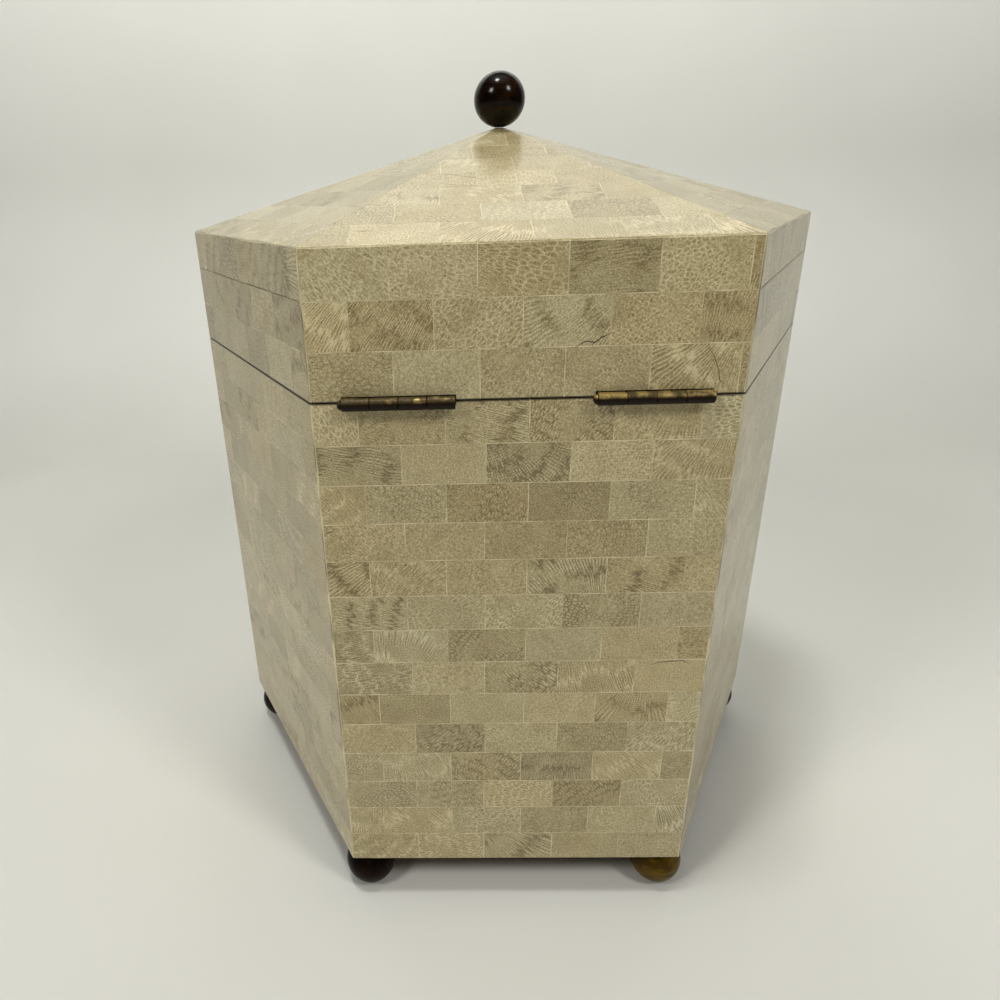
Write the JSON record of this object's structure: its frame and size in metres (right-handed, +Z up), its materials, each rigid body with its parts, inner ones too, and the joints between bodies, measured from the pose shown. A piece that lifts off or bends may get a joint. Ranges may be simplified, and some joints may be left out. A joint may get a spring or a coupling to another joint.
{
  "type": "hexagonal tessellated stone box",
  "caption": "Hexagonal keepsake box clad in polished fossil-stone tiles, with a hinged pyramid lid, ball finial and ball feet; hollow, opens on brass butt hinges.",
  "frame": {"origin": "on the axis of the hexagon, on the plane that the ball feet stand on", "axes": "+Z up along the axis of the hexagon, +Y out through the middle of the face with the hinges, -Y towards the front, +X to the right seen from the front"},
  "size_m": [0.2998, 0.2646, 0.3596],
  "materials": {
    "stone_tiles": "polished and lacquered",
    "carcass_wood": "stained, satin",
    "dark_ball": "high gloss",
    "hinge_brass": "aged"
  },
  "bodies": {
    "box": {"box_carcass": "carcass_wood", "body_tiles_back_right": "stone_tiles", "body_tiles_back": "stone_tiles", "body_tiles_back_left": "stone_tiles", "body_tiles_front_left": "stone_tiles", "body_tiles_front": "stone_tiles", "body_tiles_front_right": "stone_tiles", "foot_right": "dark_ball", "foot_back_right": "dark_ball", "foot_back_left": "dark_ball", "foot_left": "dark_ball", "foot_front_left": "dark_ball", "foot_front_right": "dark_ball", "hinge_left_body_leaf": "hinge_brass", "hinge_left_pin": "hinge_brass", "hinge_right_body_leaf": "hinge_brass", "hinge_right_pin": "hinge_brass"},
    "lid": {"lid_carcass": "carcass_wood", "lid_band_tiles_back_right": "stone_tiles", "lid_band_tiles_back": "stone_tiles", "lid_band_tiles_back_left": "stone_tiles", "lid_band_tiles_front_left": "stone_tiles", "lid_band_tiles_front": "stone_tiles", "lid_band_tiles_front_right": "stone_tiles", "lid_roof_tiles_back_right": "stone_tiles", "lid_roof_tiles_back": "stone_tiles", "lid_roof_tiles_back_left": "stone_tiles", "lid_roof_tiles_front_left": "stone_tiles", "lid_roof_tiles_front": "stone_tiles", "lid_roof_tiles_front_right": "stone_tiles", "finial_ball": "dark_ball", "hinge_left_lid_leaf": "hinge_brass", "hinge_right_lid_leaf": "hinge_brass"}
  },
  "joints": [
    {"name": "lid_hinge", "type": "hinge", "parent": "box", "child": "lid", "pos_m": [0, 0.1324, 0.24265], "axis": [-1, 0, 0], "range_deg": [0, 185]}
  ]
}
